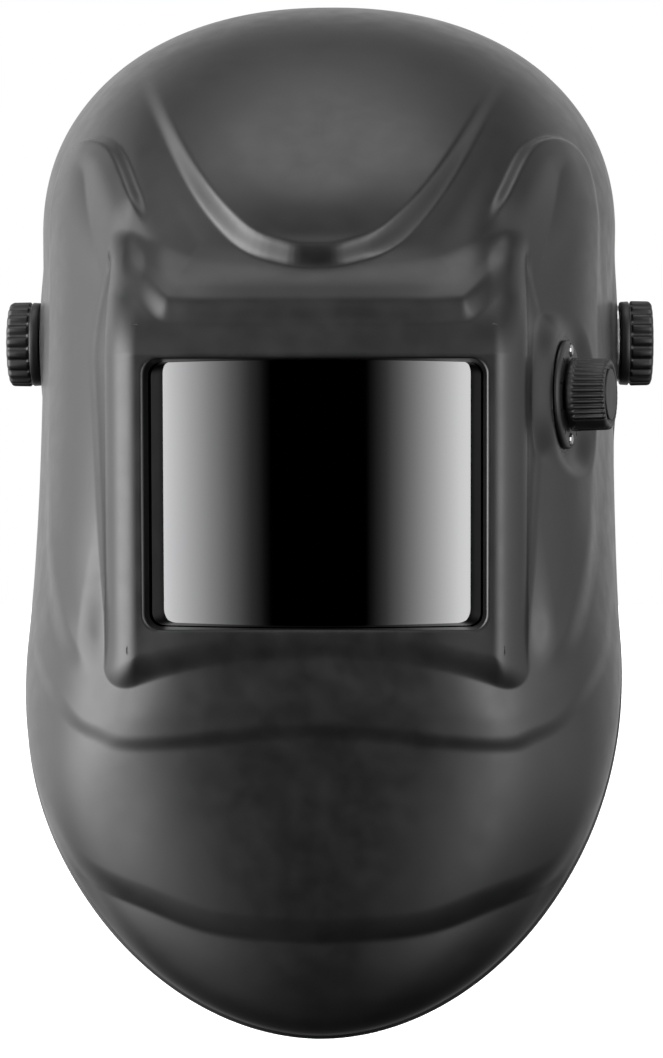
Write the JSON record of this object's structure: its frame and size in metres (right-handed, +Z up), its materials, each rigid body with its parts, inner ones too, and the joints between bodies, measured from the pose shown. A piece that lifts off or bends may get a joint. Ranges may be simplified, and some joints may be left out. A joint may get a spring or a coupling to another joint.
{
  "type": "welding helmet",
  "caption": "Auto-darkening welding helmet: black moulded shell with curved front lens, external shade knob, tilting on tension knobs over a ratchet headgear with crown strap and pads.",
  "frame": {"origin": "midpoint of the shell's pivot axis, between the wearer's temples", "axes": "+Z up, the window faces -Y, +X is the wearer's left and runs along the pivot axis"},
  "size_m": [0.228, 0.2774, 0.349],
  "materials": {
    "shell_black": "satin moulded black",
    "headgear_black": "matte moulded black",
    "knob_black": "fine-textured black",
    "lens_clear": "clear polished polycarbonate",
    "lens_mirror": "smoke-tinted polycarbonate with a mirror coating",
    "filter_glass": "dark filter glass",
    "solar_blue": "glossy solar cell",
    "steel": "plain zinc plated",
    "brass": "turned",
    "rubber": "soft matte",
    "foam": "fabric-faced foam",
    "lead_black": "black moulded plastic"
  },
  "bodies": {
    "headgear": {"brow_band": "headgear_black", "sweatband": "foam", "temple_plate_left": "headgear_black", "temple_plate_right": "headgear_black", "headband_rivet_left": "steel", "headband_rivet_right": "steel", "crown_strap_left": "headgear_black", "crown_strap_right": "headgear_black", "crown_peg": "headgear_black", "ratchet_cover": "headgear_black", "ratchet_backplate": "headgear_black", "ratchet_screw_left": "steel", "ratchet_screw_right": "steel", "nape_pad": "foam"},
    "carriage": {"pivot_arm_left": "headgear_black", "pivot_arm_right": "headgear_black", "pivot_bolt_left": "steel", "pivot_bolt_right": "steel", "inner_washer_left": "rubber", "inner_washer_right": "rubber", "outer_washer_left": "steel", "outer_washer_right": "steel", "tilt_stop_plate": "steel"},
    "shell": {"helmet_shell": "shell_black", "outer_cover_lens": "lens_mirror", "lens_gasket": "rubber", "filter_carrier": "headgear_black", "carrier_screw_1": "steel", "carrier_screw_2": "steel", "carrier_screw_3": "steel", "carrier_screw_4": "steel", "filter_housing": "headgear_black", "filter_back_cover": "headgear_black", "lcd_filter_glass": "filter_glass", "solar_cell_strip": "solar_blue", "arc_sensor_board": "filter_glass", "inner_cover_lens": "lens_clear", "shade_plate": "knob_black", "shade_plate_screw_upper": "steel", "shade_plate_screw_lower": "steel", "shade_potentiometer": "lead_black", "shade_nut": "brass", "shade_lead": "lead_black"},
    "bail": {"filter_bail": "steel"},
    "sensitivity": {"sensitivity_dial": "knob_black"},
    "delay": {"delay_dial": "knob_black"},
    "test": {"test_button": "shell_black"},
    "battery": {"battery_drawer": "headgear_black", "coin_cell": "steel"},
    "shade": {"shade_knob": "knob_black", "shade_knob_cap": "headgear_black", "shade_shaft": "steel"},
    "tension_left": {"tension_knob_left": "knob_black", "knob_insert_left": "brass"},
    "tension_right": {"tension_knob_right": "knob_black", "knob_insert_right": "brass"},
    "rack_left": {"rack_strap_left": "headgear_black"},
    "rack_right": {"rack_strap_right": "headgear_black"},
    "ratchet": {"ratchet_knob": "knob_black", "ratchet_pinion": "brass"}
  },
  "joints": [
    {"name": "reach_slide", "type": "slide", "parent": "headgear", "child": "carriage", "axis": [0, -1, 0], "range_m": [0, 0.02]},
    {"name": "shell_tilt", "type": "hinge", "parent": "carriage", "child": "shell", "pos_m": [0, 0, 0], "axis": [-1, 0, 0], "range_deg": [0, 70]},
    {"name": "tension_left_turn", "type": "hinge", "parent": "carriage", "child": "tension_left", "pos_m": [0.1026, 0, 0], "axis": [1, 0, 0], "range_deg": [-180, 180]},
    {"name": "tension_right_turn", "type": "hinge", "parent": "carriage", "child": "tension_right", "pos_m": [-0.1026, 0, 0], "axis": [1, 0, 0], "range_deg": [-180, 180]},
    {"name": "shade_turn", "type": "hinge", "parent": "shell", "child": "shade", "pos_m": [0.0786, -0.11, -0.023], "axis": [0.9659, -0.2588, 0], "range_deg": [-140, 140]},
    {"name": "bail_turn", "type": "hinge", "parent": "shell", "child": "bail", "pos_m": [0, -0.12001, -0.0813], "axis": [-1, 0, 0], "range_deg": [0, 95]},
    {"name": "sensitivity_turn", "type": "hinge", "parent": "shell", "child": "sensitivity", "pos_m": [0.034, -0.11877, -0.09324], "axis": [0, 0.9976, 0.0699], "range_deg": [-135, 135]},
    {"name": "delay_turn", "type": "hinge", "parent": "shell", "child": "delay", "pos_m": [0.016, -0.11877, -0.09324], "axis": [0, 0.9976, 0.0699], "range_deg": [-135, 135]},
    {"name": "test_press", "type": "slide", "parent": "shell", "child": "test", "axis": [0, -0.9976, -0.0699], "range_m": [0, 0.0008], "stiffness_N_per_m": 400},
    {"name": "battery_slide", "type": "slide", "parent": "shell", "child": "battery", "axis": [0, 0.0699, -0.9976], "range_m": [0, 0.01]},
    {"name": "ratchet_turn", "type": "hinge", "parent": "headgear", "child": "ratchet", "pos_m": [0, 0.02, -0.029], "axis": [0, 1, 0], "range_deg": [-180, 180]},
    {"name": "rack_left_turn", "type": "hinge", "parent": "headgear", "child": "rack_left", "pos_m": [0, 0.02, -0.029], "axis": [0, 0, 1], "range_deg": [-7.9, 7.9]},
    {"name": "rack_right_turn", "type": "hinge", "parent": "headgear", "child": "rack_right", "pos_m": [0, 0.02, -0.029], "axis": [0, 0, 1], "range_deg": [-8.1, 8.1]}
  ],
  "couplings": [
    {"joint": "rack_left_turn", "follows": "ratchet_turn", "ratio": -0.042654},
    {"joint": "rack_right_turn", "follows": "ratchet_turn", "ratio": 0.043742}
  ]
}
